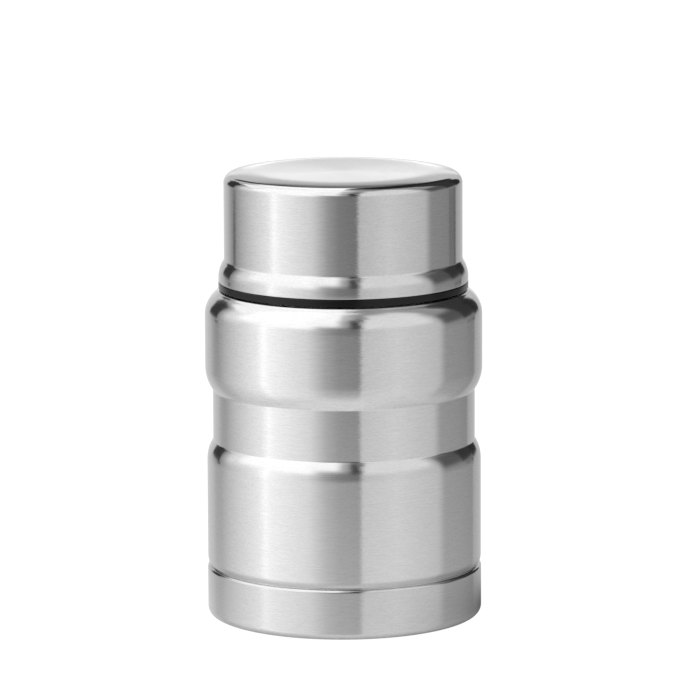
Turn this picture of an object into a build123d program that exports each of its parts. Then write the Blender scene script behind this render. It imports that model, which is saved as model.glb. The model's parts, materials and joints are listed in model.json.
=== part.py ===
# Vacuum-insulated food jar: a double-walled steel jar, a screw-in stopper with a
# vent button, and a steel cup that screws over the stopper.
# Millimetres, +Z up, origin at the centre of the base.
import math
import os

from build123d import *

# sheet metal
sheet = 0.5                 # drawn steel wall
foil_thickness = 0.15

# jar, outside
base_cup_radius = 47.6
base_cup_height = 17.3
base_corner = 2.8
lower_radius = 47.5         # broad band below the waist
waist_radius = 45.4
widest_radius = 48.0        # broad band above the waist
spigot_radius = 46.6        # reduced foot of the shell, inside the base cup
shell_foot_height = 17.6    # the shell widens again above the joint groove
lower_roll_height = 54.7    # the band starts to roll in
waist_bottom = 61.6
waist_top = 79.5
upper_roll_height = 87.5    # the band is at full radius
shoulder_height = 105.5
shoulder_lip_radius = 44.0
ledge_height = 114.1        # flat ledge round the neck
neck_radius = 36.0
neck_foot_height = 112.4    # the neck is welded into the ledge and stands a little below it
rim_height = 128.0
rim_roll = 1.0              # the liner's edge rolls over and down this far, to meet the neck
rim_bevel = 0.5

# jar, inside
cavity_radius = 41.5
cavity_floor = 12.0
floor_bevel = 6.0           # between the floor and the liner's wall
liner_joint_height = 20.0   # weld between liner and its bottom
mouth_radius = neck_radius - 2 * rim_roll
mouth_bottom = 104.0
end_plate_height = 2.0

# stopper
flange_radius = 43.2
flange_bottom = 114.6
flange_top = 117.06
skirt_outer = 39.2
skirt_inner = 37.6
cap_top = 133.0
cap_underside = 130.0
plug_radius = 32.9
plug_bottom = 103.0
plug_wall = 1.5
seal_groove_radius = 31.2
seal_groove = (105.6, 110.6)
grip_flutes = 24

# vent
button_radius = 6.0
button_bore = 6.1
button_top = 133.6
stem_radius = 1.5
stem_bore = 1.8
guide_radius = 3.4          # tube round the stem
boss_radius = 7.6           # tube round the button
boss_bottom = 121.0
boss_floor = 122.4
spring_seat_in_button = 131.8
spring_radius = 3.6
spring_wire = 0.7
spring_turns = 3

# cup
cup_radius = 41.2           # above its thread bulge
cup_bottom = flange_top
cup_height = 155.45
cup_corner = 2.7            # tight roll between wall and top
crown_roll = 16.0           # wide roll that eases the top down to it
crown_angle = 14.0          # degrees that the wide roll turns
bulge_height = 118.4        # the bulge starts to roll in
bulge_roll = 10.6
bulge_fillet = 2.3
hem_bevel = 0.4             # outer corner of the turned-in edge
thread_ring_inner = 40.5
thread_ring = (118.45, 124.6)


def lathe(section):
    """Turns a section, drawn as radius and height, round the jar's axis."""
    return revolve(Plane.XZ * section, axis=Axis.Z)


def ring(inner, outer, bottom, top):
    """Turned ring with a rectangular section."""
    section = Polyline((inner, bottom), (outer, bottom), (outer, top), (inner, top), close=True)
    return lathe(make_face(section))


def drawn_wall(outline, thickness, side):
    """Section of sheet with one thickness, beside the line of one of its faces."""
    return make_face(outline.offset_2d(thickness, kind=Kind.INTERSECTION, side=side, closed=True))


def shell_outline():
    """Outside of the shell, from the foot of the spigot to the hole that takes the neck."""
    with BuildLine() as outline:
        Polyline(
            (spigot_radius, 3.5),
            (spigot_radius, shell_foot_height),
            (lower_radius - 0.3, shell_foot_height + 0.5),
            (lower_radius, shell_foot_height + 1.6),
            (lower_radius, lower_roll_height),
        )
        TangentArc(
            (lower_radius, lower_roll_height), (waist_radius, waist_bottom), tangent=(0, 1)
        )
        Line((waist_radius, waist_bottom), (waist_radius, waist_top))
        TangentArc(
            (widest_radius, upper_roll_height), (waist_radius, waist_top), tangent=(0, -1)
        )
        Line((widest_radius, upper_roll_height), (widest_radius, shoulder_height))
        shoulder = TangentArc(
            (widest_radius, shoulder_height),
            (shoulder_lip_radius, ledge_height - 0.6),
            tangent=(0, 1),
        )
        Polyline(
            shoulder @ 1,
            (shoulder_lip_radius - 0.6, ledge_height),
            (neck_radius, ledge_height),
        )
    return outline.wire()


def liner_outline():
    """Inside of the liner, from its weld up through the mouth and over the rim."""
    return Polyline(
        (cavity_radius, liner_joint_height),
        (cavity_radius, mouth_bottom - (cavity_radius - mouth_radius)),
        (mouth_radius, mouth_bottom),
        (mouth_radius, rim_height - rim_bevel),
        (mouth_radius + rim_bevel, rim_height),
        (neck_radius - rim_bevel, rim_height),
        (neck_radius, rim_height - rim_bevel),
        (neck_radius, rim_height - rim_roll),
    ).wire()


def cup_outline():
    """Outside of the cup, from its turned-in hem to the middle of its top."""
    with BuildLine() as outline:
        Polyline(
            (flange_radius - 1.4, cup_bottom),
            (flange_radius - hem_bevel, cup_bottom),
            (flange_radius, cup_bottom + hem_bevel),
            (flange_radius, bulge_height),
        )
        step_in = flange_radius - cup_radius
        roll_angle = math.degrees(math.acos(1 - step_in / (bulge_roll + bulge_fillet)))
        roll = JernArc((flange_radius, bulge_height), (0, 1), bulge_roll, roll_angle)
        step = JernArc(roll @ 1, roll % 1, bulge_fillet, -roll_angle)
        lean = math.radians(crown_angle)
        rise = cup_corner * math.cos(lean) + crown_roll * (1 - math.cos(lean))
        wall = Line(step @ 1, (cup_radius, cup_height - rise))
        corner = JernArc(wall @ 1, (0, 1), cup_corner, 90 - crown_angle)
        crown = JernArc(corner @ 1, corner % 1, crown_roll, crown_angle)
        Line(crown @ 1, (0, cup_height))
    return outline.wire()


def base_cup_outline():
    """Outside of the base cup, from its turned-in top edge to the middle of its foot."""
    foot_ring_inner = 38.0
    recess = end_plate_height - sheet
    with BuildLine() as outline:
        Polyline(
            (spigot_radius, base_cup_height),
            (base_cup_radius - hem_bevel, base_cup_height),
            (base_cup_radius, base_cup_height - hem_bevel),
        )
        FilletPolyline(
            (base_cup_radius, base_cup_height - hem_bevel),
            (base_cup_radius, 0),
            (foot_ring_inner, 0),
            radius=base_corner,
        )
        Polyline((foot_ring_inner, 0), (foot_ring_inner - 2, recess), (0, recess))
    return outline.wire()


def outer_shell():
    return lathe(drawn_wall(shell_outline(), sheet, Side.LEFT))


def neck_sleeve():
    """Neck that carries the jar's thread, welded into the shell and under the liner's rim."""
    return ring(neck_radius - sheet, neck_radius, neck_foot_height, rim_height - rim_roll)


def base_cup():
    return lathe(drawn_wall(base_cup_outline(), sheet, Side.RIGHT))


def inner_liner():
    return lathe(drawn_wall(liner_outline(), sheet, Side.RIGHT))


def liner_bottom():
    """Dished bottom of the liner, butted to its lower edge."""
    dish = Polyline(
        (cavity_radius, liner_joint_height),
        (cavity_radius, cavity_floor + floor_bevel),
        (cavity_radius - floor_bevel, cavity_floor),
        (0, cavity_floor),
    ).wire()
    return lathe(drawn_wall(dish, sheet, Side.LEFT))


def foil_wrap():
    """Reflective foil round the straight part of the liner."""
    liner_outside = cavity_radius + sheet
    return ring(liner_outside, liner_outside + foil_thickness, 26, 92)


def vacuum_end_plate():
    """Plate that closes the shell's foot, with a dimple and hole for pumping out."""
    flange = spigot_radius - sheet
    dish = Polyline(
        (flange, 7.5),
        (flange, end_plate_height + 1.5),
        (flange - 1.5, end_plate_height),
        (7.0, end_plate_height),
        (5.0, end_plate_height + 2.5),
        (1.2, end_plate_height + 2.5),
    ).wire()
    return lathe(drawn_wall(dish, sheet, Side.RIGHT))


def seal_bead():
    """Glass bead that closes the pumping hole, in the dimple of the end plate."""
    bead = Cylinder(3, 1.8, align=(Align.CENTER, Align.CENTER, Align.MAX))
    bead = chamfer(bead.edges().group_by(Axis.Z)[0], 0.9)
    return Pos(0, 0, end_plate_height + 2.5) * bead


def getter():
    """Gas-absorbing pill, spot-welded to the vacuum side of the end plate."""
    pill = Cylinder(5, 2.4, align=(Align.CENTER, Align.CENTER, Align.MIN))
    return Pos(22, 0, end_plate_height + sheet) * pill


def stopper_cap():
    """Moulded cap: flange, threaded skirt over the neck, well and boss for the button."""
    section = make_face(
        Polyline(
            (skirt_inner, flange_bottom),
            (flange_radius, flange_bottom),
            (flange_radius, flange_top),
            (skirt_outer, flange_top),
            (skirt_outer, cap_top),
            (14.0, cap_top),
            (9.0, cap_top - 1.6),
            (button_bore, cap_top - 1.6),
            (button_bore, boss_floor),
            (stem_bore, boss_floor),
            (stem_bore, boss_bottom),
            (boss_radius, boss_bottom),
            (boss_radius, cap_underside),
            (skirt_inner, cap_underside),
            close=True,
        )
    )
    cap = lathe(section)
    flute = Cylinder(2.6, 5.6, align=(Align.CENTER, Align.CENTER, Align.MIN))
    flute_circle = PolarLocations(skirt_outer + 1.7, grip_flutes)
    return cap - [Pos(0, 0, cap_top - 5.5) * place * flute for place in flute_circle]


def plug_hollow():
    """Line of the inside of the plug, from its guide tube to its top edge."""
    inner = plug_radius - plug_wall
    waist = seal_groove_radius - plug_wall
    floor = plug_bottom + plug_wall
    return Polyline(
        (guide_radius, floor),
        (waist, floor),
        (waist, seal_groove[1] + 0.5),
        (inner, seal_groove[1] + 2.0),
        (inner, cap_underside),
    )


def stopper_plug():
    """Hollow plug welded under the cap, with the groove for the lip seal."""
    hollow = plug_hollow()
    section = make_face(
        hollow
        + Polyline(
            hollow @ 1,
            (plug_radius, cap_underside),
            (plug_radius, seal_groove[1]),
            (seal_groove_radius, seal_groove[1]),
            (seal_groove_radius, seal_groove[0]),
            (plug_radius, seal_groove[0]),
            (plug_radius, plug_bottom + 0.9),
            (plug_radius - 0.9, plug_bottom),
            (stem_bore, plug_bottom),
            (stem_bore, boss_bottom),
            (guide_radius, boss_bottom),
            hollow @ 0,
        )
    )
    return lathe(section)


def stopper_foam():
    """Insulating foam that fills the plug round the vent's tubes."""
    hollow = plug_hollow()
    section = make_face(
        hollow
        + Polyline(
            hollow @ 1,
            (boss_radius, cap_underside),
            (boss_radius, boss_bottom),
            (guide_radius, boss_bottom),
            hollow @ 0,
        )
    )
    return lathe(section)


def lip_seal():
    """Silicone seal in the plug's groove, with two lips that reach the mouth."""
    inner = seal_groove_radius + 0.1
    lip = mouth_radius - 0.1
    bottom = seal_groove[0] + 0.2
    top = seal_groove[1] - 0.2
    section = make_face(
        Polyline(
            (inner, bottom),
            (lip - 0.9, bottom),
            (lip, bottom + 1.2),
            (lip - 1.3, (bottom + top) / 2),
            (lip, top - 1.2),
            (lip - 0.9, top),
            (inner, top),
            close=True,
        )
    )
    return lathe(section)


def rim_gasket():
    """Flat silicone ring under the cap, over the rim of the jar."""
    return ring(plug_radius, neck_radius + 0.8, rim_height + 0.2, cap_underside)


def vent_button():
    """Push button: a capped sleeve with a post that holds the stem."""
    post_radius = stem_radius + 1.0
    section = make_face(
        Polyline(
            (0, button_top),
            (button_radius, button_top),
            (button_radius, 126.5),
            (button_radius - 1.1, 126.5),
            (button_radius - 1.1, spring_seat_in_button),
            (post_radius, spring_seat_in_button),
            (post_radius, 128.0),
            (stem_radius, 128.0),
            (stem_radius, 131.2),
            (0, 131.2),
            close=True,
        )
    )
    rim = section.vertices().sort_by_distance((button_radius, button_top))[0]
    return lathe(chamfer(rim, 0.5))


def vent_stem():
    """Rod from the button down through the plug, with a head under the valve disc."""
    rod = Pos(0, 0, 100.4) * Cylinder(stem_radius, 30.8, align=(Align.CENTER, Align.CENTER, Align.MIN))
    head = Pos(0, 0, 100.0) * Cylinder(2.6, 0.9, align=(Align.CENTER, Align.CENTER, Align.MIN))
    return rod + head


def valve_disc():
    """Silicone disc that closes the vent under the plug."""
    return ring(stem_radius, 5.6, 100.9, plug_bottom - 0.05)


def vent_spring():
    """Coil spring between the boss and the button."""
    height = spring_seat_in_button - boss_floor - spring_wire
    coil = Helix(pitch=height / spring_turns, height=height, radius=spring_radius)
    start = Plane(origin=coil @ 0, z_dir=coil % 0)
    wire = sweep(start * Rectangle(spring_wire * 0.9, spring_wire * 0.9), path=coil, is_frenet=True)
    return Pos(0, 0, boss_floor + spring_wire / 2) * wire


def cup_shell():
    return lathe(drawn_wall(cup_outline(), sheet, Side.LEFT))


def cup_thread_ring():
    """Moulded thread ring, seated in the bulge of the cup, which it follows closely."""
    bottom, top = thread_ring
    seat = flange_radius - sheet - 0.1
    section = make_face(
        Polyline(
            (thread_ring_inner, bottom),
            (seat, bottom),
            (seat, bulge_height + 1.1),
            (seat - 1.4, top - 1.2),
            (cup_radius - sheet, top),
            (thread_ring_inner, top),
            close=True,
        )
    )
    return lathe(section)


def cup_gasket():
    """Silicone ring under the thread ring, which seats on the stopper's flange."""
    return ring(thread_ring_inner - 0.05, flange_radius - 1.55, flange_top + 0.1, thread_ring[0] - 0.05)


makers = (
    outer_shell, neck_sleeve, base_cup, inner_liner, liner_bottom,
    foil_wrap, vacuum_end_plate, seal_bead, getter,
    stopper_cap, stopper_plug, stopper_foam, rim_gasket, lip_seal,
    vent_button, vent_stem, valve_disc, vent_spring,
    cup_shell, cup_thread_ring, cup_gasket,
)
os.makedirs("parts", exist_ok=True)
for make in makers:
    export_step(make(), f"parts/{make.__name__}.step")
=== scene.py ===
import json
import math

import bmesh
import bpy
from mathutils import Matrix, Vector


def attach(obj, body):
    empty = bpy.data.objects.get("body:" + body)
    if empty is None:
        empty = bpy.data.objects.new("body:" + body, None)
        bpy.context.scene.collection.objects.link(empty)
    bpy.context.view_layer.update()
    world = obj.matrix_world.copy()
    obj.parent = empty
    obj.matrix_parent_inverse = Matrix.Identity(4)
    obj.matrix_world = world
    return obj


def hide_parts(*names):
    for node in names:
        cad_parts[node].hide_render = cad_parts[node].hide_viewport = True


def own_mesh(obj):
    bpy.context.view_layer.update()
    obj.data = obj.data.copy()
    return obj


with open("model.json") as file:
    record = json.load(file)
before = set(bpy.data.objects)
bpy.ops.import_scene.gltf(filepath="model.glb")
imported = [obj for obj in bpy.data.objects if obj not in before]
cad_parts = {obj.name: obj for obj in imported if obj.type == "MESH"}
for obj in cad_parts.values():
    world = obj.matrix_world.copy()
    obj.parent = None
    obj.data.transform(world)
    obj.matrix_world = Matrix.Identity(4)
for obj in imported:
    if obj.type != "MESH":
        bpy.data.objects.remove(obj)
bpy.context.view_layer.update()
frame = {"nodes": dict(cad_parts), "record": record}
slotColour = {entry["slot"]: entry["base_color"] for entry in frame["record"]["materials"]}
mm = 0.001
fullTurn = 2 * math.pi
outsideSteps, insideSteps, buttonSteps = 256, 192, 96  # facets round a turned piece


# outlines are drawn as radius and height in mm, in the plane of X and Z
def startAt(mesh, radius, height):
    return mesh.verts.new((radius * mm, 0, height * mm))


def lineTo(mesh, tip, radius, height, guard=0.35, guardShare=0.2):
    # a long run gets a point near each end, which keeps its shading straight
    start, end = tip.co.copy(), Vector((radius * mm, 0, height * mm))
    share = guard * mm / max((end - start).length, 1e-9)
    for stop in ([share, 1 - share] if share < guardShare else []) + [1]:
        nextTip = mesh.verts.new(start.lerp(end, stop))
        mesh.edges.new((tip, nextTip))
        tip = nextTip
    return tip


def arcTo(mesh, tip, radius, height, heading, step=3.0):
    # round stretch that leaves the tip along heading and ends at the given point, step in degrees
    chord = Vector((radius * mm, 0, height * mm)) - tip.co
    along = Vector((heading[0], 0, heading[1])).normalized()
    side = Vector((-along.z, 0, along.x))
    centre = tip.co + side * chord.length_squared / (2 * chord.dot(side))
    angle = 2 * math.atan2(chord.dot(side), chord.dot(along))
    steps = max(2, math.ceil(abs(math.degrees(angle)) / step))
    swept = bmesh.ops.spin(mesh, geom=[tip], cent=centre, axis=(0, -1, 0), dvec=(0, 0, 0),
                           angle=angle, steps=steps, use_merge=False)
    return next(item for item in swept["geom_last"] if isinstance(item, bmesh.types.BMVert))


def uprightEnd(run, rise):
    # heading from which an arc over this run and rise ends upright
    lean = 2 * math.atan2(run, abs(rise))
    return math.sin(lean), math.copysign(1, rise) * math.cos(lean)


def roundCorners(mesh, corners, radius, segments=3):
    bmesh.ops.bevel(mesh, geom=list(corners), offset=radius * mm, offset_type="OFFSET",
                    segments=segments, profile=0.5, affect="VERTICES", material=-1)


def closedOutline(mesh, corners, soft, hard=()):
    # section of a moulded piece, all corners rounded except the hard ones
    points = [startAt(mesh, *corner) for corner in corners]
    for start, end in zip(points, points[1:] + points[:1]):
        mesh.edges.new((start, end))
    roundCorners(mesh, (point for index, point in enumerate(points) if index not in hard), soft, 4)


def turnRound(mesh, steps):
    bmesh.ops.spin(mesh, geom=mesh.verts[:] + mesh.edges[:], cent=(0, 0, 0), axis=(0, 0, 1),
                   dvec=(0, 0, 0), angle=fullTurn, steps=steps, use_merge=True)
    bmesh.ops.remove_doubles(mesh, verts=mesh.verts, dist=1e-7)
    bmesh.ops.recalc_face_normals(mesh, faces=mesh.faces)
    widest = max(mesh.faces, key=lambda face: face.calc_center_median().to_2d().length)
    if widest.normal.dot(widest.calc_center_median()) < 0:
        bmesh.ops.reverse_faces(mesh, faces=mesh.faces)


def giveWall(mesh, thickness):
    bmesh.ops.solidify(mesh, geom=mesh.faces[:], thickness=thickness * mm)


def meshObject(mesh, name, material):
    data = bpy.data.meshes.new(name)
    mesh.to_mesh(data)
    mesh.free()
    data.materials.append(material)
    piece = bpy.data.objects.new(name, data)
    bpy.context.scene.collection.objects.link(piece)
    return piece


def finishPiece(mesh, name, body, material, slot, *nodes, sharp=32, moulded=False):
    for face in mesh.faces:
        face.smooth = True
    piece = meshObject(mesh, name, material)
    piece.data.set_sharp_from_angle(angle=math.radians(sharp))
    if moulded:  # keeps broad faces flat beside their rounded corners
        piece.modifiers.new("evenShading", "WEIGHTED_NORMAL").keep_sharp = True
    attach(piece, body)
    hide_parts(*nodes)
    print("made", name, len(piece.data.polygons), "faces")
    return piece


def newMaterial(name):
    material = bpy.data.materials.new(name)
    material.use_nodes = True
    tree = material.node_tree
    return material, tree, tree.nodes["Principled BSDF"]


def addNode(tree, kind, **settings):
    node = tree.nodes.new(kind)
    for key, value in settings.items():
        setattr(node, key, value)
    return node


def mathNode(tree, operation, first, second=None, third=None):
    node = addNode(tree, "ShaderNodeMath", operation=operation)
    for socket, value in zip(node.inputs, (first, second, third)):
        if hasattr(value, "is_output"):
            tree.links.new(value, socket)
        elif value is not None:
            socket.default_value = value
    return node.outputs[0]


def plus(tree, first, second):
    return mathNode(tree, "ADD", first, second)


def minus(tree, first, second):
    return mathNode(tree, "SUBTRACT", first, second)


def times(tree, first, second):
    return mathNode(tree, "MULTIPLY", first, second)


def rangeNode(tree, value, low, high, toLow, toHigh, smooth=False):
    node = addNode(tree, "ShaderNodeMapRange", clamp=True)
    if smooth:
        node.interpolation_type = "SMOOTHSTEP"
    for key, number in (("From Min", low), ("From Max", high), ("To Min", toLow), ("To Max", toHigh)):
        node.inputs[key].default_value = number
    tree.links.new(value, node.inputs["Value"])
    return node.outputs[0]


def tintNode(tree, value, low, high):
    # mixes two colours by a value from 0 to 1
    node = addNode(tree, "ShaderNodeMix", data_type="RGBA")
    node.inputs["A"].default_value = (*low, 1)
    node.inputs["B"].default_value = (*high, 1)
    tree.links.new(value, node.inputs["Factor"])
    return node.outputs["Result"]


def scaleNode(tree, vector, amount):
    node = addNode(tree, "ShaderNodeVectorMath", operation="SCALE")
    tree.links.new(vector, node.inputs[0])
    tree.links.new(amount, node.inputs["Scale"])
    return node.outputs[0]


def noiseNode(tree, vector, scale, detail=2.0, roughness=0.5):
    node = addNode(tree, "ShaderNodeTexNoise")
    for key, number in (("Scale", scale), ("Detail", detail), ("Roughness", roughness)):
        node.inputs[key].default_value = number
    tree.links.new(vector, node.inputs["Vector"])
    return node.outputs["Fac"]


def bumpNode(tree, shader, height, strength, distance, base=None):
    node = addNode(tree, "ShaderNodeBump")
    if base:
        tree.links.new(base, node.inputs["Normal"])
    node.inputs["Strength"].default_value = strength
    node.inputs["Distance"].default_value = distance
    tree.links.new(height, node.inputs["Height"])
    tree.links.new(node.outputs["Normal"], shader.inputs["Normal"])


def splitPlace(tree, kind="Object"):
    # x, y and z of a place on a piece, or of a direction in the world's own tree
    parts = addNode(tree, "ShaderNodeSeparateXYZ")
    tree.links.new(addNode(tree, "ShaderNodeTexCoord").outputs[kind], parts.inputs[0])
    return parts.outputs


def axisDistance(tree, x, y):
    return mathNode(tree, "SQRT", plus(tree, times(tree, x, x), times(tree, y, y)))


def brushVector(tree, along, across):
    # stretches a pattern into lines that run round the axis, also on tops and ledges
    x, y, z = splitPlace(tree)
    lines = addNode(tree, "ShaderNodeCombineXYZ")
    tree.links.new(times(tree, x, along), lines.inputs[0])
    tree.links.new(times(tree, y, along), lines.inputs[1])
    tree.links.new(times(tree, minus(tree, z, axisDistance(tree, x, y)), across), lines.inputs[2])
    return lines.outputs[0]


def leanNormal(tree, tangent, grain, amount):
    # each brush line leans a hair to one side, which frays the edges of reflections
    lean = scaleNode(tree, tangent, times(tree, minus(tree, grain, 0.5), amount))
    total = addNode(tree, "ShaderNodeVectorMath", operation="ADD")
    tree.links.new(addNode(tree, "ShaderNodeNewGeometry").outputs["Normal"], total.inputs[0])
    tree.links.new(lean, total.inputs[1])
    unit = addNode(tree, "ShaderNodeVectorMath", operation="NORMALIZE")
    tree.links.new(total.outputs[0], unit.inputs[0])
    return unit.outputs[0]


def shadeAndRoughBand(tree, colour, rough, edge):
    # a band of height with its own lightness and roughness: the colour is darkened there as painted shade,
    # and the roughness is scaled
    z = splitPlace(tree)[2]
    low, high, lowSoft, highSoft = (edge[key] * mm for key in ("low", "high", "lowSoft", "highSoft"))
    inside = times(tree, rangeNode(tree, z, low - lowSoft, low + lowSoft, 0, 1),
                   rangeNode(tree, z, high - highSoft, high + highSoft, 1, 0))
    # painted shade: inside the band the colour is scaled by the band's lightness
    colour = scaleNode(tree, colour, rangeNode(tree, inside, 0, 1, 1, edge["lightness"]))
    rough = times(tree, rough, rangeNode(tree, inside, 0, 1, 1, edge["roughness"]))
    return colour, rough


grainSpan = (0.3, 0.7)  # most of a noise lies between these values


def brushedSteel(name, look):
    material, tree, shader = newMaterial(name)
    fine = noiseNode(tree, brushVector(tree, look["fineAlong"], look["fineAcross"]), 1.0, 3.0, 0.6)
    broad = noiseNode(tree, brushVector(tree, look["broadAlong"], look["broadAcross"]), 1.0, 2.0, 0.5)
    grain = plus(tree, times(tree, fine, look["fineShare"]), times(tree, broad, 1 - look["fineShare"]))
    dark = [c * (1 - look["streak"]) for c in look["tint"]]
    light = [min(1, c * (1 + look["streak"])) for c in look["tint"]]
    colour = tintNode(tree, rangeNode(tree, grain, *grainSpan, 0, 1), dark, light)
    rough = rangeNode(tree, grain, *grainSpan, *look["rough"])
    if look["shadeRoughBand"]:
        colour, rough = shadeAndRoughBand(tree, colour, rough, look["shadeRoughBand"])
    tree.links.new(colour, shader.inputs["Base Color"])
    shader.inputs["Metallic"].default_value = 1
    tree.links.new(rough, shader.inputs["Roughness"])
    leaning = None
    if look["anisotropy"]:
        shader.inputs["Anisotropic"].default_value = look["anisotropy"]
        shader.inputs["Anisotropic Rotation"].default_value = look["anisotropyTurn"]
        tangent = addNode(tree, "ShaderNodeTangent", direction_type="RADIAL", axis="Z")
        tree.links.new(tangent.outputs[0], shader.inputs["Tangent"])
        leaning = leanNormal(tree, tangent.outputs[0], fine, look["fray"])
    bumpNode(tree, shader, fine, look["bump"], look["depth"], leaning)
    return material


def mouldedPlastic(name, slot, look):
    material, tree, shader = newMaterial(name)
    place = addNode(tree, "ShaderNodeTexCoord").outputs["Object"]
    grain = noiseNode(tree, place, 1 / look["grainSize"], 3.0, 0.6)
    cloud = noiseNode(tree, place, look["cloudScale"], 2.0, 0.5)
    base = [c * look["shade"] for c in slotColour[slot][:3]]
    dark = [c * (1 - look["mottling"]) for c in base]
    light = [min(1, c * (1 + look["mottling"])) for c in base]
    colour = tintNode(tree, rangeNode(tree, cloud, *look["cloudSpan"], 0, 1), dark, light)
    tree.links.new(colour, shader.inputs["Base Color"])
    rough = [look["roughness"] * (1 + swing) for swing in (-look["roughSwing"], look["roughSwing"])]
    tree.links.new(rangeNode(tree, grain, *grainSpan, *rough), shader.inputs["Roughness"])
    shader.inputs["Specular IOR Level"].default_value = look["shine"]
    if look["subsurface"]:
        shader.inputs["Subsurface Weight"].default_value = look["subsurface"]
        shader.inputs["Subsurface Radius"].default_value = look["subsurfaceRadius"]
        shader.inputs["Subsurface Scale"].default_value = look["subsurfaceScale"]
    bumpNode(tree, shader, grain, look["bump"], look["grainSize"] * look["grainDepth"])
    return material


brushed = {  # fine brushing, lines some millimetres long and a few tenths of a millimetre apart
    "tint": (0.83, 0.83, 0.83), "streak": 0.12, "rough": (0.115, 0.155),
    "anisotropy": 0.92, "anisotropyTurn": 0.25, "fray": 0.05,
    "fineAlong": 850, "fineAcross": 6500, "broadAlong": 200, "broadAcross": 3600, "fineShare": 0.65,
    "bump": 0.12, "depth": 0.00002, "shadeRoughBand": None,
}
footRollShade = {  # painted shade that darkens the shell's foot roll, heights in mm
    "low": 17.0, "high": 19.9, "lowSoft": 0.3, "highSoft": 0.5, "lightness": 0.77, "roughness": 1.0,
}
buffedTop = {**footRollShade, "low": 152.4, "high": 155.0, "lightness": 1.0, "roughness": 0.5}
# the shell gets painted shade in its colour on the foot roll
shellSteel = brushedSteel("brushedShell", {**brushed, "shadeRoughBand": footRollShade})
baseSteel = brushedSteel("brushedBase", {**brushed, "tint": (0.755, 0.755, 0.755)})
cupSteel = brushedSteel("brushedCup", {**brushed, "tint": (0.785, 0.785, 0.785), "shadeRoughBand": buffedTop})
linerSteel = brushedSteel("satinLiner", {
    **brushed, "tint": (0.72, 0.71, 0.70), "streak": 0.03, "rough": (0.26, 0.34), "anisotropy": 0.5,
    "fineAcross": 2600, "bump": 0.06,
})
wireSteel = brushedSteel("drawnWire", {
    **brushed, "tint": (0.7, 0.7, 0.71), "rough": (0.2, 0.3), "anisotropy": 0, "bump": 0.03,
})
foilCopper = brushedSteel("wrappedFoil", {
    **brushed, "tint": slotColour["reflective_foil"][:3], "streak": 0.1, "rough": (0.15, 0.4),
    "anisotropy": 0, "fineAlong": 300, "fineAcross": 300, "bump": 0.4, "depth": 0.0003,
})
getterMetal = brushedSteel("sinteredMetal", {
    **brushed, "tint": slotColour["getter_metal"][:3], "streak": 0.2, "rough": (0.6, 0.8),
    "anisotropy": 0, "fineAlong": 4000, "fineAcross": 4000, "bump": 0.5, "depth": 0.0001,
})
plastic = {  # moulded surface in its slot's colour, with a fine grain (m) and a faint mottling
    "roughness": 0.24, "roughSwing": 0.15, "grainSize": 0.0005, "grainDepth": 0.3, "bump": 0.06,
    "cloudScale": 60, "cloudSpan": (0.35, 0.65), "mottling": 0.12, "shade": 1.0, "shine": 0.5,
    "subsurface": 0, "subsurfaceRadius": (1, 0.9, 0.8), "subsurfaceScale": 0.002,
}
blackPlastic = mouldedPlastic("blackPlastic", "black_plastic", {
    **plastic, "roughness": 0.2, "grainSize": 0.0004, "bump": 0.08, "shade": 0.12, "shine": 0.36,
})
buttonPlastic = mouldedPlastic("buttonPlastic", "button_plastic", plastic)
stemPlastic = mouldedPlastic("stemPlastic", "stem_plastic", {
    **plastic, "roughness": 0.4, "grainSize": 0.0004, "bump": 0.1, "mottling": 0.04, "subsurface": 0.1,
})
silicone = mouldedPlastic("silicone", "silicone", {
    **plastic, "roughness": 0.42, "grainSize": 0.0006, "mottling": 0.03, "subsurface": 0.25,
})
foam = mouldedPlastic("beadFoam", "white_foam", {
    **plastic, "roughness": 0.9, "grainSize": 0.0022, "bump": 0.9, "mottling": 0.05, "subsurface": 0.1,
})
glass = mouldedPlastic("solderGlass", "solder_glass", {
    **plastic, "roughness": 0.08, "grainSize": 0.0008, "bump": 0.1, "mottling": 0.3, "subsurface": 0.3,
})
print("materials ready")


jarShell = {
    "sheet": 0.5, "foot": 3.5, "spigot": 46.6, "footTop": 18.0, "footEdge": 46.75, "footRoll": 20.9,
    "lower": 47.5, "lowerRoll": 54.7, "waist": 45.4, "waistBottom": 61.6, "waistTop": 79.5,
    "widest": 48.0, "upperRoll": 87.5, "shoulder": 105.5, "lip": 44.0, "lipDrop": 0.7,
    "ledge": 114.1, "neck": 36.0, "crease": 0.35,
}


def makeOuterShell(d):
    mesh = bmesh.new()
    tip = startAt(mesh, d["spigot"], d["foot"])
    tip = lineTo(mesh, tip, d["spigot"], d["footTop"])
    tip = lineTo(mesh, tip, d["footEdge"], d["footTop"])
    tip = arcTo(mesh, tip, d["lower"], d["footRoll"],
                uprightEnd(d["lower"] - d["footEdge"], d["footRoll"] - d["footTop"]), step=2)
    tip = lineTo(mesh, tip, d["lower"], d["lowerRoll"])
    tip = lowerCrease = arcTo(mesh, tip, d["waist"], d["waistBottom"], (0, 1), step=1.5)
    tip = upperCrease = lineTo(mesh, tip, d["waist"], d["waistTop"])
    tip = arcTo(mesh, tip, d["widest"], d["upperRoll"],
                uprightEnd(d["widest"] - d["waist"], d["upperRoll"] - d["waistTop"]), step=1.5)
    tip = lineTo(mesh, tip, d["widest"], d["shoulder"])
    tip = lip = arcTo(mesh, tip, d["lip"], d["ledge"] - d["lipDrop"], (0, 1), step=2)
    tip = lipTop = lineTo(mesh, tip, d["lip"] - d["lipDrop"], d["ledge"])
    lineTo(mesh, tip, d["neck"], d["ledge"])
    roundCorners(mesh, (lip, lipTop), d["crease"])
    roundCorners(mesh, (lowerCrease, upperCrease), d["crease"])
    turnRound(mesh, outsideSteps)
    giveWall(mesh, d["sheet"])
    finishPiece(mesh, "outerShell", "jar", shellSteel, "brushed_shell_steel", "outer_shell", sharp=60)


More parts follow.
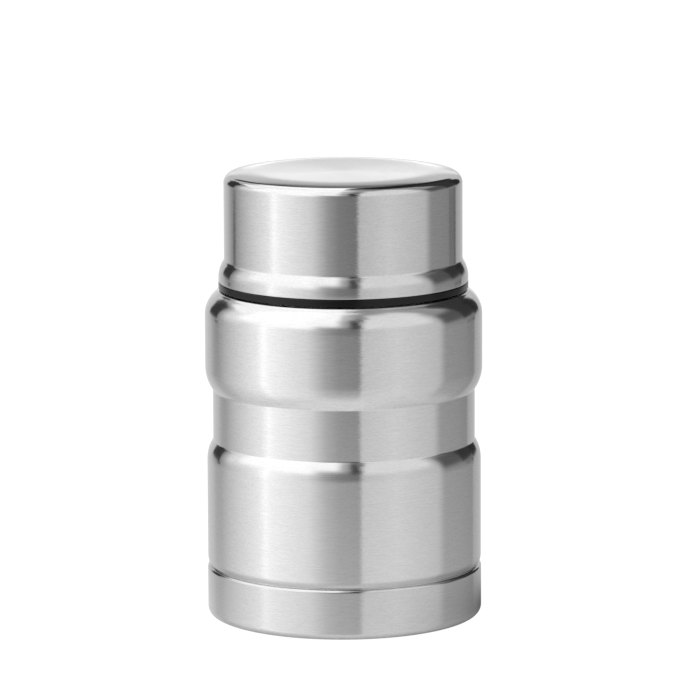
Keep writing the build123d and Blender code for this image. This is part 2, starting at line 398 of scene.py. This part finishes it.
baseCup = {
    "sheet": 0.5, "radius": 47.6, "height": 17.7, "spigot": 46.62, "edgeDrop": 1.2, "corner": 2.8,
    "footInner": 38.0, "footRound": 0.5, "recess": 1.5, "recessSlope": 2.0,
}


def makeBaseCup(d):
    mesh = bmesh.new()
    tip = startAt(mesh, d["spigot"], d["height"])
    tip = arcTo(mesh, tip, d["radius"], d["height"] - d["edgeDrop"],
                uprightEnd(d["radius"] - d["spigot"], -d["edgeDrop"]), step=10)
    tip = lineTo(mesh, tip, d["radius"], d["corner"])
    tip = arcTo(mesh, tip, d["radius"] - d["corner"], 0, (0, -1), step=4)
    tip = footEdge = lineTo(mesh, tip, d["footInner"], 0)
    tip = recessEdge = lineTo(mesh, tip, d["footInner"] - d["recessSlope"], d["recess"])
    lineTo(mesh, tip, 0, d["recess"])
    roundCorners(mesh, (footEdge, recessEdge), d["footRound"])
    turnRound(mesh, outsideSteps)
    giveWall(mesh, d["sheet"])
    finishPiece(mesh, "baseCup", "jar", baseSteel, "brushed_base_steel", "base_cup", sharp=60)


liner = {
    "sheet": 0.5, "cavity": 41.5, "joint": 20.0, "floor": 12.0, "floorRound": 6.0,
    "mouth": 34.0, "mouthBottom": 104.0, "shoulderRound": 3.2, "rim": 128.0, "neck": 36.0,
}


def makeLiner(d):
    mesh = bmesh.new()
    half = (d["neck"] - d["mouth"]) / 2
    tip = startAt(mesh, d["cavity"], d["joint"])
    tip = lowBend = lineTo(mesh, tip, d["cavity"], d["mouthBottom"] - (d["cavity"] - d["mouth"]))
    tip = highBend = lineTo(mesh, tip, d["mouth"], d["mouthBottom"])
    tip = lineTo(mesh, tip, d["mouth"], d["rim"] - half)
    tip = arcTo(mesh, tip, d["mouth"] + half, d["rim"], (0, 1), step=9)
    arcTo(mesh, tip, d["neck"], d["rim"] - half, (1, 0), step=9)
    roundCorners(mesh, (lowBend, highBend), d["shoulderRound"], segments=8)
    turnRound(mesh, insideSteps)
    bmesh.ops.reverse_faces(mesh, faces=mesh.faces)
    giveWall(mesh, d["sheet"])
    finishPiece(mesh, "innerLiner", "jar", linerSteel, "liner_steel", "inner_liner", sharp=60)


def makeLinerBottom(d):
    mesh = bmesh.new()
    tip = startAt(mesh, d["cavity"], d["joint"])
    tip = lineTo(mesh, tip, d["cavity"], d["floor"] + d["floorRound"])
    tip = arcTo(mesh, tip, d["cavity"] - d["floorRound"], d["floor"], (0, -1), step=5)
    lineTo(mesh, tip, 0, d["floor"])
    turnRound(mesh, insideSteps)
    bmesh.ops.reverse_faces(mesh, faces=mesh.faces)
    giveWall(mesh, d["sheet"])
    finishPiece(mesh, "linerBottom", "jar", linerSteel, "liner_steel", "liner_bottom", sharp=60)


thread = {  # three starts, right-handed, 12 mm to a turn; runOut and step in degrees
    "starts": 3, "lead": 12.0, "halfRoot": 0.9, "halfCrest": 0.35, "sunk": 0.15,
    "runOut": 22, "endShare": 0.02, "step": 3,
}


def addThreads(mesh, radius, crest, bottom, top, phase=0.0, side=1):
    # ridges on a wall, towards the axis where side is -1; phase moves them along the axis, in mm
    d = thread
    turn = 360 * (top - bottom) / d["lead"]
    steps = math.ceil(turn / d["step"])
    root = radius - side * d["sunk"]
    corners = ((root, -d["halfRoot"]), (crest, -d["halfCrest"]),
               (crest, d["halfCrest"]), (root, d["halfRoot"]))
    for start in range(d["starts"]):
        ridge = bmesh.new()
        section = ridge.faces.new([startAt(ridge, r, bottom + height) for r, height in corners])
        bmesh.ops.spin(ridge, geom=ridge.verts[:] + ridge.edges[:] + [section], cent=(0, 0, 0),
                       axis=(0, 0, 1), dvec=(0, 0, (top - bottom) * mm / steps),
                       angle=math.radians(turn), steps=steps, use_merge=False)
        bmesh.ops.holes_fill(ridge, edges=ridge.edges, sides=len(corners))
        ridge.verts.ensure_lookup_table()
        for index, point in enumerate(ridge.verts):  # the ends of a ridge run out into the wall
            along = turn * (index // len(corners)) / steps
            share = min(1, along / d["runOut"], (turn - along) / d["runOut"])
            share = max(share * share * (3 - 2 * share), d["endShare"])
            flat = point.co.to_2d()
            reach = (root + (flat.length / mm - root) * share) * mm / flat.length
            point.co.x, point.co.y = flat.x * reach, flat.y * reach
        offset = 360 * ((bottom + phase) / d["lead"] + start / d["starts"])
        bmesh.ops.rotate(ridge, verts=ridge.verts, cent=(0, 0, 0),
                         matrix=Matrix.Rotation(math.radians(offset), 3, "Z"))
        bmesh.ops.recalc_face_normals(ridge, faces=ridge.faces)
        data = bpy.data.meshes.new("ridge")
        ridge.to_mesh(data)
        ridge.free()
        mesh.from_mesh(data)
        bpy.data.meshes.remove(data)


neck = {
    "sheet": 0.5, "radius": 36.0, "foot": 112.4, "top": 127.0, "soft": 0.1, "crest": 37.2,
    "thread": (116.3, 124.8),
}


def makeNeck(d):
    mesh = bmesh.new()
    inner = d["radius"] - d["sheet"]
    closedOutline(mesh, ((inner, d["foot"]), (d["radius"], d["foot"]),
                         (d["radius"], d["top"]), (inner, d["top"])), d["soft"])
    turnRound(mesh, insideSteps)
    addThreads(mesh, d["radius"], d["crest"], *d["thread"])
    finishPiece(mesh, "neckSleeve", "jar", linerSteel, "liner_steel", "neck_sleeve", moulded=True)


makeOuterShell(jarShell)
makeBaseCup(baseCup)
makeLiner(liner)
makeLinerBottom(liner)
makeNeck(neck)
print("jar built")


stopper = {
    "flange": 43.2, "flangeBottom": 114.6, "flangeTop": 117.06, "skirtOuter": 39.2, "skirtInner": 37.6,
    "top": 133.0, "underside": 130.0, "wellDepth": 1.6, "wellRadius": 9.0, "wellRim": 14.0,
    "buttonBore": 6.1, "stemBore": 1.8, "boss": 7.6, "bossBottom": 121.0, "bossFloor": 122.4,
    "soft": 0.35, "gripHeight": 5.5, "gripSeam": 0.12, "gripBand": 0.9,
    "flutes": 24, "stepsPerFlute": 18, "fluteRadius": 2.6, "fluteOut": 1.7,
    "outerCrest": 40.2, "outerThread": (118.3, 124.6), "innerCrest": 36.4, "innerThread": (117.6, 122.2),
    "threadPhase": 2,
}


def makeStopperCap(d):
    mesh = bmesh.new()
    grip = d["top"] - d["gripHeight"]
    wellFloor = d["top"] - d["wellDepth"]
    closedOutline(mesh, (
        (d["skirtInner"], d["flangeBottom"]), (d["flange"], d["flangeBottom"]),
        (d["flange"], d["flangeTop"]), (d["skirtOuter"], d["flangeTop"]),
        (d["skirtOuter"], grip - d["gripSeam"]), (d["skirtOuter"], grip + d["gripSeam"]),
        (d["skirtOuter"], d["top"]), (d["wellRim"], d["top"]), (d["wellRadius"], wellFloor),
        (d["buttonBore"], wellFloor), (d["buttonBore"], d["bossFloor"]),
        (d["stemBore"], d["bossFloor"]), (d["stemBore"], d["bossBottom"]), (d["boss"], d["bossBottom"]),
        (d["boss"], d["underside"]), (d["skirtInner"], d["underside"])), d["soft"], hard=(4, 5))
    turnRound(mesh, d["flutes"] * d["stepsPerFlute"])
    pitch = fullTurn / d["flutes"]
    for point in mesh.verts:  # grip flutes, cut as by a round cutter that stands outside the skirt
        radius, height = point.co.to_2d().length / mm, point.co.z / mm
        if height > grip and radius > d["skirtOuter"] - d["gripBand"]:
            across = (math.atan2(point.co.y, point.co.x) + pitch / 2) % pitch - pitch / 2
            reach = max(0, d["fluteRadius"] ** 2 - (across * radius) ** 2)
            depth = max(0, math.sqrt(reach) - d["fluteOut"])
            share = min(radius, d["skirtOuter"] - depth) / radius
            point.co.x *= share
            point.co.y *= share
    addThreads(mesh, d["skirtOuter"], d["outerCrest"], *d["outerThread"])
    addThreads(mesh, d["skirtInner"], d["innerCrest"], *d["innerThread"], phase=d["threadPhase"], side=-1)
    finishPiece(mesh, "stopperCap", "stopper", blackPlastic, "black_plastic", "stopper_cap",
                sharp=40, moulded=True)


plug = {
    "radius": 32.9, "bottom": 103.0, "wall": 1.5, "groove": 31.2, "grooveLow": 105.6, "grooveHigh": 110.6,
    "slopeLow": 0.5, "slopeHigh": 2, "guide": 3.4, "soft": 0.4,
}


def makePlug(d, cap):
    mesh = bmesh.new()
    inner, waist, floor = d["radius"] - d["wall"], d["groove"] - d["wall"], d["bottom"] + d["wall"]
    closedOutline(mesh, (
        (d["guide"], floor), (waist, floor), (waist, d["grooveHigh"] + d["slopeLow"]),
        (inner, d["grooveHigh"] + d["slopeHigh"]), (inner, cap["underside"]),
        (d["radius"], cap["underside"]), (d["radius"], d["grooveHigh"]), (d["groove"], d["grooveHigh"]),
        (d["groove"], d["grooveLow"]), (d["radius"], d["grooveLow"]), (d["radius"], d["bottom"]),
        (cap["stemBore"], d["bottom"]), (cap["stemBore"], cap["bossBottom"]),
        (d["guide"], cap["bossBottom"])), d["soft"], hard=(4, 5, 7, 8, 12, 13))
    turnRound(mesh, insideSteps)
    finishPiece(mesh, "stopperPlug", "stopper", blackPlastic, "black_plastic", "stopper_plug",
                sharp=40, moulded=True)


seals = {
    "soft": 0.3, "lip": 33.9, "lipSeat": 31.3, "lipLow": 105.8, "lipHigh": 110.4,
    "lipBase": 0.9, "lipRise": 1.2, "lipWaist": 1.3,
    "rimInner": 32.9, "rimOuter": 36.8, "rimLow": 128.2, "rimHigh": 130.0,
    "cupInner": 40.45, "cupOuter": 41.65, "cupLow": 117.16, "cupHigh": 118.4,
}


def makeSeals(d):
    mesh = bmesh.new()
    base, middle = d["lip"] - d["lipBase"], (d["lipLow"] + d["lipHigh"]) / 2
    closedOutline(mesh, (
        (d["lipSeat"], d["lipLow"]), (base, d["lipLow"]), (d["lip"], d["lipLow"] + d["lipRise"]),
        (d["lip"] - d["lipWaist"], middle), (d["lip"], d["lipHigh"] - d["lipRise"]),
        (base, d["lipHigh"]), (d["lipSeat"], d["lipHigh"])), d["soft"])
    turnRound(mesh, insideSteps)
    finishPiece(mesh, "lipSeal", "stopper_seal", silicone, "silicone", "lip_seal", sharp=60, moulded=True)
    for name, body, node, inner, outer, low, high in (
        ("rimGasket", "stopper", "rim_gasket", d["rimInner"], d["rimOuter"], d["rimLow"], d["rimHigh"]),
        ("cupGasket", "cup_seal", "cup_gasket", d["cupInner"], d["cupOuter"], d["cupLow"], d["cupHigh"]),
    ):
        mesh = bmesh.new()
        closedOutline(mesh, ((inner, low), (outer, low), (outer, high), (inner, high)), d["soft"])
        turnRound(mesh, insideSteps)
        finishPiece(mesh, name, body, silicone, "silicone", node, sharp=60, moulded=True)


vent = {
    "button": 6.0, "top": 133.6, "dish": 0.35, "brim": 0.9, "brimDrop": 0.06, "brimRise": 0.15,
    "cornerDrop": 0.8, "bottom": 126.5, "wall": 1.1, "springSeat": 131.8, "post": 2.5, "postEnd": 128.0,
    "stem": 1.5, "stemEnd": 131.2, "guard": 0.15,
}


def makeButton(d):
    mesh = bmesh.new()
    tip = startAt(mesh, 0, d["top"] - d["dish"])  # the top is dished a little for a finger
    tip = arcTo(mesh, tip, d["button"] - d["brim"], d["top"] - d["brimDrop"], (1, 0), step=3)
    tip = arcTo(mesh, tip, d["button"], d["top"] - d["cornerDrop"], (1, d["brimRise"]), step=12)
    inner = d["button"] - d["wall"]
    for corner in ((d["button"], d["bottom"]), (inner, d["bottom"]), (inner, d["springSeat"]),
                   (d["post"], d["springSeat"]), (d["post"], d["postEnd"]), (d["stem"], d["postEnd"]),
                   (d["stem"], d["stemEnd"]), (0, d["stemEnd"])):
        tip = lineTo(mesh, tip, *corner, guard=d["guard"])
    turnRound(mesh, buttonSteps)
    finishPiece(mesh, "ventButton", "vent", buttonPlastic, "button_plastic", "vent_button", sharp=40)


spring = {
    "coil": 3.6, "wire": 0.32, "wireSides": 10, "seat": 122.4, "gap": 0.05, "flat": 0.66,
    "endTurns": 0.8, "openTurns": 2.8, "stepsPerTurn": 40, "travel": 2.5,
}


def makeSpring(d, top):
    mesh = bmesh.new()
    length = top - d["seat"]
    height = length - 2 * (d["wire"] + d["gap"])
    place = Matrix.Translation((d["coil"] * mm, 0, (d["seat"] + d["wire"] + d["gap"]) * mm))
    bmesh.ops.create_circle(mesh, cap_ends=True, segments=d["wireSides"], radius=d["wire"] * mm,
                            matrix=place @ Matrix.Rotation(math.pi / 2, 4, "X"))
    ends = mesh.faces[:]
    for turns, rise in ((d["endTurns"], d["flat"]), (d["openTurns"], height - 2 * d["flat"]),
                        (d["endTurns"], d["flat"])):
        steps = math.ceil(turns * d["stepsPerTurn"])
        swept = bmesh.ops.spin(mesh, geom=ends, cent=(0, 0, 0), axis=(0, 0, 1),
                               dvec=(0, 0, rise * mm / steps), angle=fullTurn * turns, steps=steps,
                               use_merge=False)
        ends = swept["geom_last"]
    bmesh.ops.holes_fill(mesh, edges=mesh.edges, sides=d["wireSides"])
    bmesh.ops.recalc_face_normals(mesh, faces=mesh.faces)
    coil = finishPiece(mesh, "ventSpring", "stopper", wireSteel, "spring_steel", "vent_spring", sharp=60)
    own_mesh(coil)


makeStopperCap(stopper)
makePlug(plug, stopper)
makeSeals(seals)
makeButton(vent)
makeSpring(spring, vent["springSeat"])
print("stopper built")


cup = {  # the crown is the shallow roll that leads from the corner to the top panel
    "sheet": 0.5, "hem": 43.2, "bottom": 117.06, "turnIn": 1.4, "hemRoll": 0.45,
    "bulge": 118.4, "bulgeRoll": 10.6, "bulgeFillet": 2.3, "radius": 41.2, "height": 155.45,
    "corner": 3.4, "crownRoll": 50.0, "crownAngle": 10.0, "dish": 0.3, "dishAngle": 0.8,
}


def makeCup(d):
    mesh = bmesh.new()
    tip = startAt(mesh, d["hem"] - d["turnIn"], d["bottom"])
    tip = lineTo(mesh, tip, d["hem"] - d["hemRoll"], d["bottom"])
    tip = arcTo(mesh, tip, d["hem"], d["bottom"] + d["hemRoll"], (1, 0), step=12)
    tip = lineTo(mesh, tip, d["hem"], d["bulge"])
    rolls = d["bulgeRoll"] + d["bulgeFillet"]
    turn = math.acos(1 - (d["hem"] - d["radius"]) / rolls)
    tip = arcTo(mesh, tip, d["hem"] - d["bulgeRoll"] * (1 - math.cos(turn)),
                d["bulge"] + d["bulgeRoll"] * math.sin(turn), (0, 1), step=1.5)
    tip = arcTo(mesh, tip, d["radius"], d["bulge"] + rolls * math.sin(turn),
                (-math.sin(turn), math.cos(turn)), step=2)
    lean = math.radians(d["crownAngle"])
    crownFoot = d["height"] - d["crownRoll"] * (1 - math.cos(lean))
    crownRadius = d["radius"] - d["corner"] * (1 - math.sin(lean))
    tip = lineTo(mesh, tip, d["radius"], crownFoot - d["corner"] * math.cos(lean))
    tip = arcTo(mesh, tip, crownRadius, crownFoot, (0, 1), step=3)
    tip = arcTo(mesh, tip, crownRadius - d["crownRoll"] * math.sin(lean), d["height"],
                (-math.cos(lean), math.sin(lean)), step=1)
    dip = math.radians(d["dishAngle"])  # the top panel is dished a little
    arcTo(mesh, tip, 0, d["height"] - d["dish"], (-math.cos(dip), -math.sin(dip)), step=0.05)
    turnRound(mesh, outsideSteps)
    giveWall(mesh, d["sheet"])
    finishPiece(mesh, "cupShell", "cup", cupSteel, "brushed_cup_steel", "cup_shell", sharp=60)


cupRing = {
    "inner": 40.5, "seat": 42.6, "bottom": 118.45, "top": 124.6, "straight": 1.05, "lean": 1.4,
    "upper": 40.7, "upperDrop": 1.2, "soft": 0.15, "crest": 39.5, "thread": (119.6, 123.6), "threadPhase": 2,
}


def makeCupRing(d):
    mesh = bmesh.new()
    closedOutline(mesh, (
        (d["inner"], d["bottom"]), (d["seat"], d["bottom"]), (d["seat"], d["bottom"] + d["straight"]),
        (d["seat"] - d["lean"], d["top"] - d["upperDrop"]), (d["upper"], d["top"]),
        (d["inner"], d["top"])), d["soft"], hard=(4, 5))
    turnRound(mesh, insideSteps)
    addThreads(mesh, d["inner"], d["crest"], *d["thread"], phase=d["threadPhase"], side=-1)
    finishPiece(mesh, "cupThreadRing", "cup", blackPlastic, "black_plastic", "cup_thread_ring",
                sharp=40, moulded=True)


makeCup(cup)
makeCupRing(cupRing)
print("cup built")


finishes = {
    "foil_wrap": foilCopper, "vacuum_end_plate": linerSteel, "seal_bead": glass, "getter": getterMetal,
    "stopper_foam": foam, "vent_stem": stemPlastic, "valve_disc": silicone,
}
for node, material in finishes.items():
    for place in frame["nodes"][node].material_slots:
        place.material = material
print("finishes given to", len(finishes), "kept nodes")


camera = {  # mm and degrees
    "target": (2.198, 0, 92.486), "distance": 1875.6, "pitch": 9.873, "roll": -0.237, "lens": 278.4,
    "sensor": 36,
}


def makeCamera(d):
    pitch = math.radians(d["pitch"])
    back = Vector((0, -math.cos(pitch), math.sin(pitch)))
    place = (Vector(d["target"]) + back * d["distance"]) * mm
    data = bpy.data.cameras.new("camera")
    data.sensor_width = d["sensor"]
    data.lens = d["lens"]
    data.clip_end = 50
    piece = bpy.data.objects.new("camera", data)
    bpy.context.scene.collection.objects.link(piece)
    piece.matrix_world = (Matrix.Translation(place) @ Matrix.Rotation(math.pi / 2 - pitch, 4, "X")
                          @ Matrix.Rotation(math.radians(d["roll"]), 4, "Z"))
    bpy.context.scene.camera = piece


def glowMaterial(name, colour, strength):
    material, _, shader = newMaterial(name)
    shader.inputs["Base Color"].default_value = (colour, colour, colour, 1)
    shader.inputs["Roughness"].default_value = 1
    shader.inputs["Specular IOR Level"].default_value = 0
    shader.inputs["Emission Color"].default_value = (1, 1, 1, 1)
    shader.inputs["Emission Strength"].default_value = strength
    return material


def stageGlossy(mesh, name, material):
    # a stage piece that shows only in reflections
    piece = meshObject(mesh, name, material)
    piece.visible_camera = piece.visible_diffuse = piece.visible_shadow = piece.visible_transmission = False


floorLook = {"size": 12.0, "colour": 0.1, "glow": 0.98}  # size in m


def makeFloor(d):
    mesh = bmesh.new()
    bmesh.ops.create_grid(mesh, x_segments=4, y_segments=4, size=d["size"] / 2)
    piece = meshObject(mesh, "floor", glowMaterial("paleFloor", d["colour"], d["glow"]))
    piece.visible_glossy = False


# brightness of the studio by direction, in degrees: azimuth from the camera's side, to its right,
# and elevation
belt = (  # the ring round the horizon, azimuth and brightness
    (-180, 0.62), (-146, 0.4), (-137, 0.26), (-127, 0.24), (-115, 0.38), (-77, 0.77), (-70, 0.98),
    (-64, 0.86), (-30, 0.58), (-15, 0.28), (-4, 0.17), (13.2, 0.14), (15, 0.44), (45, 0.55),
    (86, 0.43), (94, 0.23), (122, 0.2), (138, 0.17), (142, 0.31), (180, 0.5),
)
cards = (  # middle azimuth, half width, lowest and highest elevation, brightness, soft edge
    (0, 180, -95, -40, 0.5, 12),  # the table straight below
    (-106, 14, 6, 95, 0.66, 9),  # large softbox, left
    (-65, 39, 15, 95, 0.95, 7), (-125, 60, 42, 95, 0.97, 5),
    (-17, 18, 26, 95, 0.88, 6), (3.5, 7.5, 26, 54, 0.32, 7), (5, 8, 51, 95, 0.45, 7),  # its soft edge
    (48, 34, 16, 58, 0.63, 5), (64, 28, 46, 68, 0.62, 5), (62, 46, 70, 95, 0.24, 4),  # softbox, right
    (11, 5.2, 17, 54, 0.05, 4), (18, 3.5, 42, 64, 0.12, 3), (25, 6, 54, 74, 0.22, 4),  # the gap beside it
    (180, 11, -6, 3.5, 0.62, 1.5), (180, 2, 3.5, 6.5, 1.38, 1), (180, 11, 6.5, 10.5, 0.68, 1),  # back wall
    (180, 26, 10.5, 21.5, 0.45, 1.5), (180, 3, 21.5, 34, 0.12, 2),
    (150, 27.5, 21.5, 72, 0.015, 2), (-168, 10, 21, 36, 0.04, 2.5),  # its dark top
    (116, 9, 38, 75, 0.3, 5),  # dim side wall, right
    (-124, 17, 31, 95, 0.85, 3),  # pale side wall, left
    (120, 28, 4, 32, 0.075, 5), (137, 18, 2.5, 50, 0.03, 2),  # dark corner, right
    (147, 7.5, -1.5, 24, 0.02, 1.5),
    (-139, 9.5, -1, 27, 0.03, 1.5), (-149, 3.5, 13, 24, 0.05, 1.5),  # dark corner, left
    (-60, 120, 80, 95, 0.9, 4),  # ceiling
)
flags = (  # dark stands at the table's far edge: azimuth, half width, distance, height, brightness
    (-127.5, 3.0, 750, 40, 0.05), (128, 7, 750, 60, 0.13), (134.8, 1.0, 740, 45, 0.01),
)
metalShare = 0.78  # of the light, that comes back from brushed steel
backdropWhite = 1.0


table = {  # pale table under the jar, seen only in the steel, brightest towards its lit side
    "radius": 800, "near": 50, "cover": 0.42, "middle": 0.56, "swing": 0.18, "litSide": -30,
    "contact": (46.5, 49.5), "contactShade": 0.5, "shadow": 0.35, "shadowReach": (50, 120),
    "shadowSide": 105, "shadowCover": 3.0,
}


def sideShare(tree, x, y, distance, side):
    # 1 on the table's side of that azimuth, -1 on the other side
    side = math.radians(side)
    return mathNode(tree, "DIVIDE", plus(tree, times(tree, x, math.sin(side)),
                                         times(tree, y, -math.cos(side))), distance)


def makeTable(d):
    mesh = bmesh.new()
    bmesh.ops.create_circle(mesh, cap_ends=True, segments=64, radius=d["radius"] * mm)
    material = bpy.data.materials.new("tableGlow")
    material.use_nodes = True
    tree = material.node_tree
    tree.nodes.clear()
    x, y, _ = splitPlace(tree)
    distance = axisDistance(tree, x, y)
    near, far = (edge * mm for edge in d["contact"])
    contact = rangeNode(tree, distance, near, far, 1, 0)  # the dark line where the foot meets the table
    near, far = (edge * mm for edge in d["shadowReach"])
    shadow = times(tree, mathNode(tree, "MAXIMUM", sideShare(tree, x, y, distance, d["shadowSide"]), 0.0),
                   rangeNode(tree, distance, near, far, d["shadow"], 0))
    swing = times(tree, sideShare(tree, x, y, distance, d["litSide"]), d["swing"])
    bare = minus(tree, plus(tree, swing, d["middle"]), shadow)
    light = mathNode(tree, "DIVIDE", bare, metalShare)
    lit = minus(tree, 1.0, times(tree, contact, d["contactShade"]))
    glow = addNode(tree, "ShaderNodeEmission")
    tree.links.new(times(tree, light, lit), glow.inputs["Strength"])
    cover = rangeNode(tree, distance, d["near"] * mm, d["radius"] * mm, d["cover"], 0)
    cover = mathNode(tree, "MAXIMUM", cover, times(tree, shadow, d["shadowCover"]))
    mix = addNode(tree, "ShaderNodeMixShader")
    tree.links.new(mathNode(tree, "MAXIMUM", cover, contact), mix.inputs[0])
    tree.links.new(addNode(tree, "ShaderNodeBsdfTransparent").outputs[0], mix.inputs[1])
    tree.links.new(glow.outputs[0], mix.inputs[2])
    tree.links.new(mix.outputs[0], addNode(tree, "ShaderNodeOutputMaterial").inputs["Surface"])
    stageGlossy(mesh, "tableGlow", material)


def makeFlags(stands):
    for index, (azimuth, half, distance, height, value) in enumerate(stands):
        mesh = bmesh.new()
        width = 2 * distance * math.radians(half)
        bmesh.ops.create_grid(mesh, x_segments=1, y_segments=1, size=0.5)
        bmesh.ops.scale(mesh, verts=mesh.verts, vec=(width * mm, height * mm, 1))
        place = (Matrix.Rotation(math.radians(azimuth), 4, "Z")
                 @ Matrix.Translation((0, -distance * mm, height * mm / 2))
                 @ Matrix.Rotation(math.pi / 2, 4, "X"))
        bmesh.ops.transform(mesh, verts=mesh.verts, matrix=place)
        stageGlossy(mesh, "flag%d" % index, glowMaterial("flagCloth%d" % index, 0, value / metalShare))


def makeStudio(ring, patches):
    world = bpy.data.worlds.new("studio")
    bpy.context.scene.world = world
    world.use_nodes = True
    tree = world.node_tree
    x, y, z = splitPlace(tree, "Generated")
    degree = 180 / math.pi
    azimuth = times(tree, mathNode(tree, "ARCTAN2", x, times(tree, y, -1.0)), degree)
    elevation = times(tree, mathNode(tree, "ARCSINE", z), degree)
    brightest = max(value for _, value in ring)
    ramp = addNode(tree, "ShaderNodeValToRGB")
    tree.links.new(rangeNode(tree, azimuth, -180, 180, 0, 1), ramp.inputs[0])
    stops = ramp.color_ramp.elements
    while len(stops) < len(ring):
        stops.new(0.5)
    for stop, (angle, value) in zip(stops, ring):
        stop.position = (angle + 180) / 360
        stop.color = (value / brightest,) * 3 + (1,)
    light = times(tree, ramp.outputs[0], brightest)
    for middle, half, low, high, value, soft in patches:
        away = mathNode(tree, "WRAP", minus(tree, azimuth, float(middle)), 180.0, -180.0)
        away = mathNode(tree, "ABSOLUTE", away)
        above = rangeNode(tree, elevation, low - soft, low + soft, 0, 1, smooth=True)
        below = rangeNode(tree, elevation, high - soft, high + soft, 1, 0, smooth=True)
        share = times(tree, above, below)
        if half < 180:
            share = times(tree, share, rangeNode(tree, away, half - soft, half + soft, 1, 0, smooth=True))
        light = plus(tree, times(tree, light, minus(tree, 1.0, share)), times(tree, share, value))
    cast = tree.nodes["Background"]
    tree.links.new(light, cast.inputs["Color"])
    cast.inputs["Strength"].default_value = 1 / metalShare
    seen = addNode(tree, "ShaderNodeBackground")
    seen.inputs["Color"].default_value = (backdropWhite,) * 3 + (1,)
    mix = addNode(tree, "ShaderNodeMixShader")
    tree.links.new(addNode(tree, "ShaderNodeLightPath").outputs["Is Camera Ray"], mix.inputs[0])
    tree.links.new(cast.outputs[0], mix.inputs[1])
    tree.links.new(seen.outputs[0], mix.inputs[2])
    tree.links.new(mix.outputs[0], tree.nodes["World Output"].inputs["Surface"])


makeCamera(camera)
makeFloor(floorLook)
makeTable(table)
makeFlags(flags)
makeStudio(belt, cards)
bpy.context.scene.view_settings.view_transform = "Standard"
print("studio ready")
